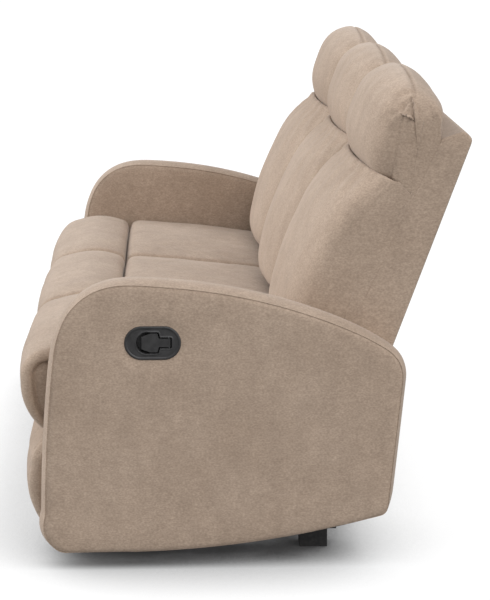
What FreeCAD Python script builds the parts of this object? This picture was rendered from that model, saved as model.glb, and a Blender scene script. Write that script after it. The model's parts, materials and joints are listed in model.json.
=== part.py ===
import FreeCAD, Part
import Sketcher
import os
from types import SimpleNamespace

# Reclining sofa with three seats, in millimetres.
# X runs along the length, towards the sitter's left. The front faces -Y. Z is up.
# The origin is on the floor, under the middle of the sofa.

doc = FreeCAD.newDocument("ReclinerSofa")
sheet = doc.addObject("Spreadsheet::Sheet", "Sizes")

SIZES = {
    # Whole sofa
    "sofa_length": 1840,
    "seat_clearance": 1.5,
    # Feet, runners, stretchers and mechanism rails
    "foot_height": 40,
    "foot_width": 50,
    "foot_depth": 60,
    "foot_setback": 20,
    "runner_height": 25,
    "runner_width": 45,
    "runner_front": -370,
    "runner_rear": 200,
    "runner_inset": 76,
    "stretcher_height": 30,
    "stretcher_depth": 40,
    "front_stretcher": -150,
    "middle_stretcher": 10,
    "rear_stretcher": 120,
    "rail_height": 35,
    "rail_width": 24,
    "rail_overhang": 5,
    "skirt_front": 252,
    "skirt_thickness": 12,
    "skirt_low": 112,
    "skirt_height": 98,
    # Arms
    "arm_thickness": 84,
    "arm_front": -424,
    "arm_rear": 325,
    "arm_bottom": 38,
    "arm_top": 610,
    "arm_apex": -220,
    "arm_rake": 30,
    "arm_brow_drop": 96,
    "arm_bow": 6,
    "arm_toe": 33,
    "arm_heel": 80,
    "arm_sole": 190,
    "arm_tail_rise": 74,
    "arm_tail_inset": 43,
    "arm_tail_round": 16,
    "arm_elbow": 73,
    "arm_shoulder_drop": 125,
    "arm_crown": 12,
    "arm_padding": 20,
    # Handle in the arm
    "bezel_rim": 3,
    "bezel_round": 36,
    "bezel_reach": 23,
    "bezel_y": -196,
    "bezel_z": 492,
    "cup_round": 23,
    "cup_reach": 20,
    "cup_wall": 3,
    "cup_depth": 25,
    "lever_thickness": 10,
    "lever_recess": 1,
    "lever_pin_back": 34,
    "lever_pin_radius": 2,
    "lever_pin_length": 40,
    "lever_knuckle": 5,
    "lever_neck_height": 18,
    "lever_paddle_start": 13,
    "lever_paddle_end": 23,
    "lever_paddle_half": 20,
    "lever_tip_half": 13,
    # Seat frame
    "frame_lift": 85,
    "frame_height": 100,
    "frame_margin": 6,
    "frame_timber": 25,
    "frame_gap": 22,
    "frame_rear": 40,
    "frame_board_depth": 88,
    "frame_board_thickness": 16,
    "rear_rail_raise": 20,
    "webbing_thickness": 3,
    "webbing_width": 46,
    # Recliner mechanism
    "link_thickness": 4,
    "link_gap": 1,
    "link_half": 12,
    "pin_radius": 5,
    "pin_clearance": 0.08,
    "pin_setback": 0.2,
    "glide_gap": 0.3,
    "flange_thickness": 3,
    "tube_radius": 9,
    "drive_y": -290,
    "drive_rise": 33,
    "control_setback": 19.9,
    "control_rise": 47.7,
    "drive_reach": 179.3,
    "drive_drop": 62.8,
    "long_reach": 284.3,
    "long_drop": 57.2,
    "control_share": 0.35,
    "rivet_length": 0.6,
    "plate_front_foot": -250,
    "plate_step": -20,
    "plate_tail": 25,
    "hinge_y": 60,
    "hinge_drop": 15,
    "bracket_half": 16,
    "bracket_rise": 170,
    # Seat cushion and knee roll
    "seam_y": -279,
    "seam_gap": 1,
    "cushion_rear": 110,
    "cushion_thick_front": 148,
    "cushion_thick_rear": 110,
    "cushion_round": 16,
    "cushion_crown": 5,
    "side_draw": 16,
    "knee_overhang": 62,
    "knee_height": 164,
    "knee_hang": 34,
    "knee_pinch": 54,
    # Footrest and its flap
    "toe_setback": 15,
    "board_thickness": 15,
    "board_low": 70,
    "board_height": 202,
    "pad_bulge": 49,
    "pad_overlap": 5,
    "foot_bracket_half": 35,
    "flap_half": 212,
    "flap_length": 106,
    "flap_board_thickness": 8,
    "flap_pad_thickness": 12,
    "flap_pin_radius": 2,
    "flap_barrel_radius": 4.2,
    "flap_hinge_back": 4.6,
    "flap_hinge_down": 4,
    "flap_ear": 4,
    # Backs
    "shell_lift": 35,
    "shell_height": 651,
    "shell_front_low": 96,
    "shell_front_top": 405,
    "shell_rear_low": 237,
    "shell_rear_top": 475,
    "shell_ridge": 18,
    "shell_wall": 12,
    "stile_width": 40,
    "panel_thickness": 10,
    "back_gap": 6,
    "back_thick": 121,
    "back_belly": 66,
    "back_bow": 18,
    "back_draw": 32,
    "nape_reach": 163,
    "nape_drop": 59,
    "nape_depth": 105,
    "nape_draw": 32,
    "nape_gap": 1,
    "head_rise": 134,
    "head_thick": 172,
    "head_overhang": 14,
    "head_draw": 46,
}

for row, (alias, number) in enumerate(SIZES.items(), start=1):
    cell = f"A{row}"
    sheet.set(cell, str(number))
    sheet.setAlias(cell, alias)
doc.recompute()


class Size:
    """A length with the spreadsheet expression that gives it."""

    def __init__(self, value, text=None):
        self.value = float(value)
        self.text = text or repr(float(value))

    def combined(self, other, sign, result):
        return Size(result, f"({self.text} {sign} {other.text})")

    def __add__(self, other):
        other = as_size(other)
        return self.combined(other, "+", self.value + other.value)

    def __sub__(self, other):
        other = as_size(other)
        return self.combined(other, "-", self.value - other.value)

    def __mul__(self, other):
        other = as_size(other)
        return self.combined(other, "*", self.value * other.value)

    def __truediv__(self, other):
        other = as_size(other)
        return self.combined(other, "/", self.value / other.value)

    def __neg__(self):
        return Size(-self.value, f"(0 - {self.text})")


def as_size(number):
    return number if isinstance(number, Size) else Size(number)


def sheet_size(name):
    return Size(float(sheet.get(name)), f"Sizes.{name}")


s = SimpleNamespace(**{alias: sheet_size(alias) for alias in SIZES})
nodes = []


# Shared ways to make a piece


def helper_name(label, number):
    return f"{label}_piece_{number}"


def keep(piece, label):
    """Marks a finished sub-part, whose label names its file."""
    piece.Label = label
    nodes.append(piece)
    return piece


def bind(piece, **expressions):
    """Ties a piece's properties to the spreadsheet; base_x stands for Placement.Base.x."""
    for name, size in expressions.items():
        path = f"Placement.Base.{name[-1]}" if name.startswith("base_") else name
        piece.setExpression(path, as_size(size).text)


def block(name, x, y, z):
    """A box from three (low, high) spans."""
    piece = doc.addObject("Part::Box", name)
    bind(piece, Length=x[1] - x[0], Width=y[1] - y[0], Height=z[1] - z[0])
    bind(piece, base_x=x[0], base_y=y[0], base_z=z[0])
    return piece


def rod(name, x, y, z, radius):
    """A round bar along X."""
    piece = doc.addObject("Part::Cylinder", name)
    piece.Placement.Rotation = FreeCAD.Rotation(FreeCAD.Vector(0, 1, 0), 90)
    bind(piece, Radius=radius, Height=x[1] - x[0], base_x=x[0], base_y=y, base_z=z)
    return piece


def post(name, x, y, z, radius):
    """A round bar along Z."""
    piece = doc.addObject("Part::Cylinder", name)
    bind(piece, Radius=radius, Height=z[1] - z[0], base_x=x, base_y=y, base_z=z[0])
    return piece


def group(name, pieces):
    """Separate solids that share one node."""
    piece = doc.addObject("Part::Compound", name)
    piece.Links = pieces
    return piece


def join(name, pieces):
    """Pieces welded or moulded as one solid."""
    piece = doc.addObject("Part::MultiFuse", name)
    piece.Shapes = pieces
    return piece


def carve(name, base, tool):
    """A piece with the tool's shape taken out of it."""
    piece = doc.addObject("Part::Cut", name)
    piece.Base = base
    piece.Tool = tool
    return piece


def start_plate(name):
    """A body with an empty sketch in the Y-Z plane."""
    body = doc.addObject("PartDesign::Body", name)
    sketch = body.newObject("Sketcher::SketchObject", name + "_outline")
    planes = [item for item in body.Origin.OriginFeatures if item.Role == "YZ_Plane"]
    sketch.AttachmentSupport = (planes[0], [""])
    sketch.MapMode = "FlatFace"
    return body, sketch


def flat(point):
    return FreeCAD.Vector(point[0].value, point[1].value, 0)


def tie_constraint(sketch, constraint, size):
    number = sketch.addConstraint(constraint)
    sketch.setExpression(f"Constraints[{number}]", size.text)


def tie_point(sketch, geometry, place, point):
    """Holds a sketch point at its Y and Z."""
    y, z = point
    tie_constraint(sketch, Sketcher.Constraint("DistanceX", -1, 1, geometry, place, y.value), y)
    tie_constraint(sketch, Sketcher.Constraint("DistanceY", -1, 1, geometry, place, z.value), z)


def bore(sketch, point, radius):
    """A round hole in the plate."""
    normal = FreeCAD.Vector(0, 0, 1)
    number = sketch.addGeometry(Part.Circle(flat(point), normal, radius.value))
    tie_point(sketch, number, 3, point)
    tie_constraint(sketch, Sketcher.Constraint("Radius", number, radius.value), radius)


def finish_plate(body, sketch, x):
    pad = body.newObject("PartDesign::Pad", body.Name + "_pad")
    pad.Profile = sketch
    bind(pad, Length=x[1] - x[0])
    bind(body, base_x=x[0])
    sketch.Visibility = False
    return body


def prism(name, x, corners, holes=()):
    """A plate with straight edges in the Y-Z plane, with round holes."""
    corners = [(as_size(y), as_size(z)) for y, z in corners]
    body, sketch = start_plate(name)
    count = len(corners)
    for number, corner in enumerate(corners):
        following = corners[(number + 1) % count]
        sketch.addGeometry(Part.LineSegment(flat(corner), flat(following)))
    for number, corner in enumerate(corners):
        meeting = Sketcher.Constraint("Coincident", number, 2, (number + 1) % count, 1)
        sketch.addConstraint(meeting)
        tie_point(sketch, number, 1, corner)
    for point, radius in holes:
        bore(sketch, point, radius)
    return finish_plate(body, sketch, x)


def slot(name, x, first, second, radius, holes=()):
    """A plate with two round ends about two points of the Y-Z plane."""
    body, sketch = start_plate(name)
    near = flat(first)
    far = flat(second)
    along = (far - near).normalize()
    aside = FreeCAD.Vector(-along.y, along.x, 0) * radius.value
    beyond = along * radius.value
    sketch.addGeometry(Part.Arc(near + aside, near - beyond, near - aside))
    sketch.addGeometry(Part.LineSegment(near - aside, far - aside))
    sketch.addGeometry(Part.Arc(far - aside, far + beyond, far + aside))
    sketch.addGeometry(Part.LineSegment(far + aside, near + aside))
    for number in range(4):
        following = (number + 1) % 4
        sketch.addConstraint(Sketcher.Constraint("Tangent", number, 2, following, 1))
    tie_point(sketch, 0, 3, first)
    tie_point(sketch, 2, 3, second)
    tie_constraint(sketch, Sketcher.Constraint("Radius", 0, radius.value), radius)
    sketch.addConstraint(Sketcher.Constraint("Equal", 0, 2))
    for point, hole_radius in holes:
        bore(sketch, point, hole_radius)
    return finish_plate(body, sketch, x)


def section(x, edges):
    """A closed wire at the station x; each edge is a line of two points or an arc of three."""
    curves = []
    for edge in edges:
        points = [FreeCAD.Vector(x, y, z) for y, z in edge]
        curve = Part.LineSegment(*points) if len(points) == 2 else Part.Arc(*points)
        curves.append(curve.toShape())
    return Part.Wire(curves)


STATIONS = (1.0, 0.96, 0.88, 0.7, 0.4)
CROWN_POWER = 2.6


def stuffed(label, middle, half, edges_at):
    """A padded form: sections across X whose fullness falls off towards both ends."""
    wires = []
    for share in [-end for end in STATIONS] + [0.0] + list(reversed(STATIONS)):
        fullness = (1 - abs(share) ** CROWN_POWER) ** (1 / CROWN_POWER)
        wires.append(section(middle.value + share * half.value, edges_at(fullness)))
    piece = doc.addObject("Part::Feature", label)
    piece.Shape = Part.makeLoft(wires, True, True)
    piece.Placement = FreeCAD.Placement()
    return keep(piece, label)


# Places that several pieces share

outer = s.sofa_length / 2 - s.bezel_rim
inner = outer - s.arm_thickness
pitch = inner * 2 / 3
half = pitch / 2 - s.seat_clearance
zero = Size(0)
runner_top = s.foot_height + s.runner_height
stretcher_top = runner_top + s.stretcher_height
rail_top = stretcher_top + s.rail_height
frame_low = rail_top + s.frame_lift
frame_top = frame_low + s.frame_height
webbing_top = frame_top + s.webbing_thickness
side_far = half - s.frame_margin
side_near = side_far - s.frame_timber
plate_near = side_near - s.link_thickness
layer_step = s.link_thickness + s.link_gap
board_top = s.board_low + s.board_height
shell_low = frame_low + s.shell_lift
shell_top = shell_low + s.shell_height
back_low = webbing_top + s.cushion_thick_rear + s.back_gap
nape_front = s.shell_front_top - s.nape_reach
nape_high = shell_top - s.nape_drop
nape_low = shell_top - s.nape_depth
hinge = (s.hinge_y, frame_low - s.hinge_drop)
drive = (s.drive_y, frame_low + s.drive_rise)
knee_joint = (drive[0] + s.drive_reach, drive[1] - s.drive_drop)
toe_joint = (knee_joint[0] - s.long_reach, knee_joint[1] - s.long_drop)
board_back = toe_joint[0] - s.toe_setback
board_front = board_back - s.board_thickness
frame_front = board_back + s.frame_gap
knee_front = board_front - s.knee_overhang
control = (toe_joint[0] + s.control_setback, frame_low + s.control_rise)
control_end = (
    knee_joint[0] - s.long_reach * s.control_share,
    knee_joint[1] - s.long_drop * s.control_share,
)
flap_hinge = (board_back + s.flap_hinge_back, board_top - s.flap_hinge_down)
running_radius = s.pin_radius + s.pin_clearance
seat_middles = {"left": pitch, "middle": zero, "right": -pitch}
HANDS = {"outer": 1, "inner": -1}


def span(middle, hand, near, far):
    """The low and high X of a piece that lies between two offsets from a seat's middle."""
    if hand > 0:
        return (middle + near, middle + far)
    return (middle - far, middle - near)


def both(middle, reach):
    """The low and high X of a piece centred on a seat."""
    return (middle - reach, middle + reach)


def layer(number):
    """The near and far offset of a flat steel layer, counted inwards from the plates."""
    near = plate_near - layer_step * number
    return (near, near + s.link_thickness)


# Base


def make_base():
    runner_middles = (inner - s.runner_inset, pitch / 2)
    runner_lines = [middle * hand for middle in runner_middles for hand in (1, -1)]
    runner_y = (s.runner_front, s.runner_rear)
    foot_y = (
        (s.runner_front + s.foot_setback, s.runner_front + s.foot_setback + s.foot_depth),
        (s.runner_rear - s.foot_setback - s.foot_depth, s.runner_rear - s.foot_setback),
    )
    runners = []
    feet = []
    for line in runner_lines:
        name = helper_name("runner", len(runners))
        x = both(line, s.runner_width / 2)
        runners.append(block(name, x, runner_y, (s.foot_height, runner_top)))
        for y in foot_y:
            name = helper_name("foot", len(feet))
            feet.append(block(name, both(line, s.foot_width / 2), y, (zero, s.foot_height)))
    keep(group("runner_group", runners), "runners")
    keep(group("foot_group", feet), "feet")
    stretchers = []
    for front in (s.front_stretcher, s.middle_stretcher, s.rear_stretcher):
        y = (front, front + s.stretcher_depth)
        name = helper_name("stretcher", len(stretchers))
        stretchers.append(block(name, both(zero, inner), y, (runner_top, stretcher_top)))
    keep(group("stretcher_group", stretchers), "stretchers")
    rails = []
    rail_y = (
        s.front_stretcher - s.rail_overhang,
        s.rear_stretcher + s.stretcher_depth + s.rail_overhang,
    )
    for side in ("left", "right"):
        for hand in HANDS.values():
            x = span(seat_middles[side], hand, plate_near, plate_near + s.rail_width)
            name = helper_name("rail", len(rails))
            rails.append(block(name, x, rail_y, (stretcher_top, rail_top)))
    keep(group("rail_group", rails), "mechanism_rails")
    skirt_y = (s.skirt_front, s.skirt_front + s.skirt_thickness)
    skirt_z = (s.skirt_low, s.skirt_low + s.skirt_height)
    keep(block("skirt", both(zero, inner), skirt_y, skirt_z), "rear_skirt")


# Arms: a timber core in a padded cover whose band is crowned between its two seams


def arm_outline():
    """The seam line of the arm, as knots with the middle of the arc that leaves each one."""
    front = s.arm_front.value
    rear = s.arm_rear.value
    bottom = s.arm_bottom.value
    top = s.arm_top.value
    toe = (front + s.arm_toe.value, bottom)
    sole = (front + s.arm_sole.value, bottom)
    tail = (rear - s.arm_tail_inset.value, bottom + s.arm_tail_rise.value)
    heel = (tail[0] + s.arm_tail_round.value * 0.94, tail[1] + s.arm_tail_round.value)
    elbow_z = top - s.arm_shoulder_drop.value
    back = (rear, elbow_z - s.arm_elbow.value)
    shoulder = (rear - s.arm_elbow.value * 0.67, elbow_z)
    apex = (s.arm_apex.value, top)
    brow = (front + s.arm_rake.value, top - s.arm_brow_drop.value)
    shin = (front, bottom + s.arm_heel.value)
    return [
        (toe, None),
        (sole, ((sole[0] + tail[0]) / 2, bottom + s.arm_tail_rise.value * 0.28)),
        (tail, (tail[0] + s.arm_tail_round.value * 0.68, tail[1] + s.arm_tail_round.value * 0.34)),
        (heel, None),
        (back, (rear - s.arm_elbow.value * 0.19, elbow_z - s.arm_elbow.value * 0.4)),
        (shoulder, ((shoulder[0] + apex[0]) / 2, top - s.arm_shoulder_drop.value * 0.264)),
        (apex, (apex[0] - (apex[0] - brow[0]) * 0.73, top - s.arm_brow_drop.value * 0.25)),
        (brow, ((brow[0] + shin[0]) / 2 - s.arm_bow.value, (brow[1] + shin[1]) / 2)),
        (shin, (front + s.arm_toe.value * 0.09, bottom + s.arm_heel.value * 0.35)),
    ]


SOLE_POINTS = 3


def arm_edges(fullness):
    """The arm's section: the seam line swollen outwards, with the sole left flat."""
    outline = arm_outline()
    points = []
    for number, (knot, middle) in enumerate(outline):
        following = outline[(number + 1) % len(outline)][0]
        halfway = ((knot[0] + following[0]) / 2, (knot[1] + following[1]) / 2)
        points += [knot, middle or halfway]
    swollen = []
    for number, (y, z) in enumerate(points):
        before = points[number - 1]
        after = points[(number + 1) % len(points)]
        along = FreeCAD.Vector(after[0] - before[0], after[1] - before[1], 0).normalize()
        on_sole = number <= 2 * SOLE_POINTS - 1
        swell = 0 if on_sole else s.arm_crown.value * fullness
        swollen.append((y + along.y * swell, z - along.x * swell))
    edges = []
    for number, (_, middle) in enumerate(outline):
        start = swollen[2 * number]
        stop = swollen[(2 * number + 2) % len(swollen)]
        edges.append((start, swollen[2 * number + 1], stop) if middle else (start, stop))
    return edges


def make_arm(side, hand):
    middle = (outer + inner) / 2 * hand
    cover_x = span(zero, hand, inner, outer)
    core_x = span(zero, hand, inner + s.arm_padding, outer - s.arm_padding)
    cup_round = s.cup_round + s.cup_wall
    cup_ends = ((s.bezel_y - s.cup_reach, s.bezel_z), (s.bezel_y + s.cup_reach, s.bezel_z))
    rim_ends = ((s.bezel_y - s.bezel_reach, s.bezel_z), (s.bezel_y + s.bezel_reach, s.bezel_z))
    cup_x = span(zero, hand, outer - s.cup_depth - s.cup_wall, outer)
    hollow_x = span(zero, hand, outer - s.cup_depth, outer + s.bezel_rim * 2)
    rim_x = span(zero, hand, outer, outer + s.bezel_rim)
    blank = slot(f"{side}_cup_blank", cup_x, *cup_ends, cup_round)

    wires = []
    half_arm = (cover_x[1].value - cover_x[0].value) / 2
    for share in [-end for end in STATIONS] + [0.0] + list(reversed(STATIONS)):
        fullness = (1 - abs(share) ** CROWN_POWER) ** (1 / CROWN_POWER)
        wires.append(section(middle.value + share * half_arm, arm_edges(fullness)))
    padding = doc.addObject("Part::Feature", f"{side}_arm_padding")
    padding.Shape = Part.makeLoft(wires, True, True)
    padding.Placement = FreeCAD.Placement()

    inset = s.arm_padding
    upper = [
        (s.arm_rear - inset * 2, s.arm_bottom + s.arm_tail_rise + inset * 2),
        (s.arm_rear - inset * 1.5, s.arm_top - s.arm_shoulder_drop - s.arm_elbow),
        (s.arm_rear - inset - s.arm_elbow, s.arm_top - s.arm_shoulder_drop - inset * 1.5),
        (s.arm_apex, s.arm_top - inset * 1.5),
        (s.arm_front + s.arm_rake + inset * 2.5, s.arm_top - s.arm_brow_drop * 0.9),
        (s.arm_front + inset, s.arm_bottom + s.arm_heel),
    ]
    rise = s.arm_tail_rise
    core_sole = [
        (s.arm_front + s.arm_toe + inset, s.arm_bottom + inset * 0.5),
        (s.arm_front + s.arm_sole, s.arm_bottom + inset * 0.5),
        (s.arm_rear - inset * 4, s.arm_bottom + rise + inset * 0.5),
    ]
    cavity_sole = [
        (s.arm_front + s.arm_toe + inset, zero),
        (s.arm_front + s.arm_sole, zero),
        (s.arm_rear - inset * 4, zero),
    ]
    core = prism(f"{side}_core_panel", core_x, core_sole + upper)
    cavity = prism(f"{side}_core_cavity", core_x, cavity_sole + upper)
    keep(carve(f"{side}_core_cut", core, blank), f"{side}_arm_core")
    hollow_cover = carve(f"{side}_cover_hollow", padding, cavity)
    keep(carve(f"{side}_cover_cut", hollow_cover, blank), f"{side}_arm_cover")

    hollow = slot(f"{side}_cup_hollow", hollow_x, *cup_ends, s.cup_round)
    rim = slot(f"{side}_cup_rim", rim_x, *rim_ends, s.bezel_round)
    moulding = join(f"{side}_bezel_moulding", [blank, rim])
    open_cup = carve(f"{side}_bezel_cup", moulding, hollow)
    pin_x = (outer - s.lever_recess - s.lever_thickness / 2) * hand
    pin_y = s.bezel_y + s.lever_pin_back
    pin_z = both(s.bezel_z, s.lever_pin_length / 2)
    pin = post(f"{side}_lever_pin", pin_x, pin_y, pin_z, s.lever_pin_radius)
    keep(carve(f"{side}_bezel_cut", open_cup, pin), f"{side}_handle_bezel")

    make_lever(side, hand, (pin_x, pin_y))
    return pin


def make_lever(side, hand, pivot):
    """The paddle in the cup, on a knuckle about its upright pin."""
    pin_x, pin_y = pivot
    face = outer - s.lever_recess
    lever_x = span(zero, hand, face - s.lever_thickness, face)
    neck = s.lever_neck_height / 2
    root = s.bezel_y + s.lever_paddle_start
    tip = s.bezel_y - s.lever_paddle_end
    cheek = (root + tip) / 2
    lower = [
        (pin_y, s.bezel_z - neck),
        (root, s.bezel_z - neck),
        (root - s.lever_recess * 3, s.bezel_z - s.lever_paddle_half),
        (cheek, s.bezel_z - s.lever_paddle_half),
        (tip, s.bezel_z - s.lever_tip_half),
    ]
    upper = [(y, s.bezel_z * 2 - z) for y, z in reversed(lower)]
    paddle = prism(f"{side}_paddle", lever_x, upper + lower)
    neck_z = both(s.bezel_z, neck)
    knuckle = post(f"{side}_knuckle", pin_x, pin_y, neck_z, s.lever_knuckle)
    bore_radius = s.lever_pin_radius + s.pin_clearance
    pin_z = both(s.bezel_z, s.lever_pin_length / 2)
    eye = post(f"{side}_lever_eye", pin_x, pin_y, pin_z, bore_radius)
    solid = join(f"{side}_lever_solid", [paddle, knuckle])
    keep(carve(f"{side}_lever_cut", solid, eye), f"{side}_release_lever")


# Seats


def make_seat_frame(side, middle):
    side_y = (frame_front, s.frame_rear)
    side_z = (frame_low, frame_top)
    pieces = []
    for word, hand in HANDS.items():
        x = span(middle, hand, side_near, side_far)
        pieces.append(block(f"{side}_{word}_side_rail", x, side_y, side_z))
    between = both(middle, side_near)
    board_y = (frame_front, frame_front + s.frame_board_depth)
    board_z = (frame_top - s.frame_board_thickness, frame_top)
    pieces.append(block(f"{side}_front_board", between, board_y, board_z))
    rear_y = (s.frame_rear - s.frame_timber, s.frame_rear)
    rear_z = (frame_low + s.rear_rail_raise, frame_top)
    pieces.append(block(f"{side}_rear_rail", between, rear_y, rear_z))
    if side == "middle":
        pieces += middle_supports()
    keep(group(f"{side}_frame_group", pieces), f"{side}_seat_frame")


def middle_supports():
    """The fixed seat stands on posts, and carries a fixed front panel on two cleats."""
    pieces = []
    post_z = (stretcher_top, frame_low)
    front_y = (s.front_stretcher, s.front_stretcher + s.stretcher_depth)
    rear_y = (s.middle_stretcher, s.frame_rear)
    cleat_y = (board_back, frame_front)
    cleat_z = (frame_low, board_top)
    for word, hand in HANDS.items():
        x = span(zero, hand, side_near, side_far)
        pieces.append(block(f"front_post_{word}", x, front_y, post_z))
        pieces.append(block(f"rear_post_{word}", x, rear_y, post_z))
        pieces.append(block(f"panel_cleat_{word}", x, cleat_y, cleat_z))
    panel_y = (board_front, board_back)
    panel_z = (s.board_low, board_top)
    pieces.append(block("front_panel", both(zero, side_far), panel_y, panel_z))
    return pieces


STRAP_COUNT = 5


def make_webbing(side, middle):
    first = s.seam_y + s.seam_gap
    last = s.frame_rear - s.webbing_width
    step = (last - first) / (STRAP_COUNT - 1)
    straps = []
    for number in range(STRAP_COUNT):
        front = first + step * number
        y = (front, front + s.webbing_width)
        name = helper_name(f"{side}_strap", number)
        straps.append(block(name, both(middle, side_far), y, (frame_top, webbing_top)))
    keep(group(f"{side}_strap_group", straps), f"{side}_seat_webbing")


def make_seat_cushion(side, middle):
    front = (s.seam_y + s.seam_gap / 2).value
    rear = s.cushion_rear.value
    bottom = webbing_top.value
    bend = s.cushion_round.value

    def edges_at(fullness):
        drawn = s.side_draw.value * (1 - fullness)
        top_front = bottom + s.cushion_thick_front.value - drawn
        top_rear = bottom + s.cushion_thick_rear.value - drawn
        middle_top = (top_front + top_rear) / 2 + s.cushion_crown.value * (0.3 + 0.7 * fullness)
        return [
            ((front, bottom), (rear, bottom)),
            ((rear, bottom), (rear, top_rear - bend)),
            ((rear, top_rear - bend), (rear - bend * 0.3, top_rear - bend * 0.25), (rear - bend, top_rear)),
            ((rear - bend, top_rear), ((front + rear) / 2, middle_top), (front + bend, top_front)),
            (
                (front + bend, top_front),
                (front + bend * 0.3, top_front - bend * 0.3),
                (front, top_front - bend),
            ),
            ((front, top_front - bend), (front, bottom)),
        ]

    stuffed(f"{side}_seat_cushion", middle, half, edges_at)


def make_knee_roll(side, middle):
    rear = (s.seam_y - s.seam_gap / 2).value
    front = knee_front.value
    shelf = frame_top.value
    back = frame_front.value
    height = s.knee_height.value
    bend = s.cushion_round.value

    def edges_at(fullness):
        drawn = s.side_draw.value * (1 - fullness)
        top = shelf + height - drawn
        seam_top = top - bend * 0.8
        nose = front + drawn
        low = shelf - s.knee_hang.value
        pinch = front + s.knee_pinch.value
        crest = rear - (rear - front) * 0.42
        brow = (rear - (rear - front) * 0.7, top - height * 0.07)
        chin = (nose, shelf + height * 0.43)
        return [
            ((rear, shelf), (rear, seam_top - bend)),
            ((rear, seam_top - bend), (rear - bend * 0.3, seam_top - bend * 0.3), (rear - bend, seam_top)),
            ((rear - bend, seam_top), (crest, top), brow),
            (brow, (nose + height * 0.08, shelf + height * 0.76), chin),
            (chin, (nose + bend * 0.45, shelf + height * 0.1), (pinch, low)),
            ((pinch, low), (back, low)),
            ((back, low), (back, shelf)),
            ((back, shelf), (rear, shelf)),
        ]

    stuffed(f"{side}_knee_roll", middle, half, edges_at)


# Recliner mechanism of an end seat


def make_plates(side, middle):
    """Side plates that carry the seat, with their glide flanges and fixed pivot pins."""
    near, far = layer(0)
    low = rail_top + s.glide_gap
    boss = s.link_half
    hinge_top = hinge[1] + s.plate_tail
    corners = [
        (s.plate_front_foot, low),
        (hinge[0] + s.plate_tail, low),
        (hinge[0] + s.plate_tail, hinge_top),
        (s.plate_step, hinge_top),
        (s.plate_front_foot, control[1] + boss),
        (control[0] - boss, control[1] + boss),
        (control[0] - boss, control[1] - boss * 2),
    ]
    pin_end = layer(1)[0] + s.pin_setback
    plates = []
    for word, hand in HANDS.items():
        name = f"{side}_{word}_plate"
        pieces = [prism(name, span(middle, hand, near, far), corners)]
        flange_x = span(middle, hand, near, near + s.rail_width)
        flange_y = (s.plate_front_foot, hinge[0] + s.plate_tail)
        flange_z = (low, low + s.flange_thickness)
        pieces.append(block(f"{name}_flange", flange_x, flange_y, flange_z))
        pin_x = span(middle, hand, pin_end, far)
        for number, point in enumerate((hinge, drive, control)):
            pieces.append(rod(helper_name(name, number), pin_x, *point, s.pin_radius))
        plates.append(join(f"{name}_weld", pieces))
    keep(group(f"{side}_plate_group", plates), f"{side}_mechanism_plates")


def make_links(side, middle):
    drive_pieces = []
    control_links = []
    long_links = []
    for word, hand in HANDS.items():
        first = span(middle, hand, *layer(1))
        second = span(middle, hand, *layer(2))
        eye = running_radius
        name = f"{side}_{word}_drive_link"
        bar = slot(name, first, drive, knee_joint, s.link_half, [(drive, eye)])
        knee_pin_x = span(middle, hand, layer(2)[0] + s.pin_setback, layer(1)[1])
        knee_pin = rod(f"{name}_pin", knee_pin_x, *knee_joint, s.pin_radius)
        drive_pieces.append(join(f"{name}_weld", [bar, knee_pin]))
        name = f"{side}_{word}_control_link"
        bar = slot(name, first, control, control_end, s.link_half, [(control, eye)])
        rivet_x = span(middle, hand, layer(1)[0] - s.rivet_length, layer(1)[1])
        rivet = rod(f"{name}_rivet", rivet_x, *control_end, s.pin_radius)
        control_links.append(join(f"{name}_weld", [bar, rivet]))
        name = f"{side}_{word}_long_link"
        bar = slot(name, second, knee_joint, toe_joint, s.link_half, [(knee_joint, eye)])
        toe_pin_x = span(middle, hand, layer(3)[0] + s.pin_setback, layer(2)[1])
        toe_pin = rod(f"{name}_pin", toe_pin_x, *toe_joint, s.pin_radius)
        long_links.append(join(f"{name}_weld", [bar, toe_pin]))
    tube = rod(f"{side}_torsion_tube", both(middle, layer(1)[0]), *drive, s.tube_radius)
    keep(group(f"{side}_drive_group", drive_pieces + [tube]), f"{side}_drive_links")
    keep(group(f"{side}_control_group", control_links), f"{side}_control_links")
    keep(group(f"{side}_long_group", long_links), f"{side}_long_links")


def pad_edges(fullness):
    """The footrest's padded face, swollen to the front."""
    back = board_front.value
    low = s.board_low.value - s.pad_overlap.value
    high = board_top.value + s.pad_overlap.value
    front = back - s.pad_bulge.value * (0.62 + 0.38 * fullness)
    lip = back - s.pad_bulge.value * 0.25
    shin = high - (high - low) * 0.36
    return [
        ((back, low), (back, high)),
        ((back, high), (lip, high)),
        ((lip, high), (front + s.pad_overlap.value * 2, high - (high - low) * 0.12), (front, shin)),
        ((front, shin), (front + s.pad_overlap.value * 0.8, low + (high - low) * 0.2), (lip, low)),
        ((lip, low), (back, low)),
    ]


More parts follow.
